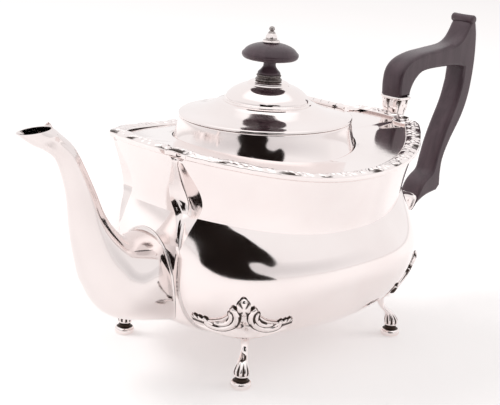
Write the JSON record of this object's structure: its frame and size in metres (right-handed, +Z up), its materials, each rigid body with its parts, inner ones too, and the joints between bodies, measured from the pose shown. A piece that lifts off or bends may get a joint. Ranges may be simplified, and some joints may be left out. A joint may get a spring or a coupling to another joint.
{
  "type": "teapot",
  "caption": "Oblong silver teapot on four cast feet with a swan-neck spout, hinged lid, ebonised knob and ebonised handle in silver sockets",
  "frame": {"origin": "middle of the footprint on the surface it stands on", "axes": "X from the spout to the handle, Y across, Z up"},
  "size_m": [0.3038, 0.1284, 0.1554],
  "materials": {
    "silver": "polished silver with a soft warm tone, darker in the hollows of the cast ornament",
    "ebony": "ebonised hardwood, waxed",
    "brass": "polished"
  },
  "bodies": {
    "pot": {"body": "silver", "base_plate": "silver", "rim_border": "silver", "top_plate": "silver", "lid_collar": "silver", "spout": "silver", "upper_socket": "silver", "lower_socket": "silver", "handle": "ebony", "upper_rivet": "silver", "lower_rivet": "silver", "foot_front_spout": "silver", "foot_back_spout": "silver", "foot_front_handle": "silver", "foot_back_handle": "silver", "hinge_body_knuckles": "silver", "hinge_pin": "silver"},
    "lid": {"hinge_lid_knuckles": "silver", "lid": "silver", "lid_bezel": "silver", "knob_ring": "silver", "knob": "ebony", "knob_button": "silver", "knob_washer": "brass", "knob_nut": "brass"}
  },
  "joints": [
    {"name": "lid_hinge", "type": "hinge", "parent": "pot", "child": "lid", "pos_m": [0.034, 0, 0.1143], "axis": [0, 1, 0], "range_deg": [0, 95]}
  ]
}
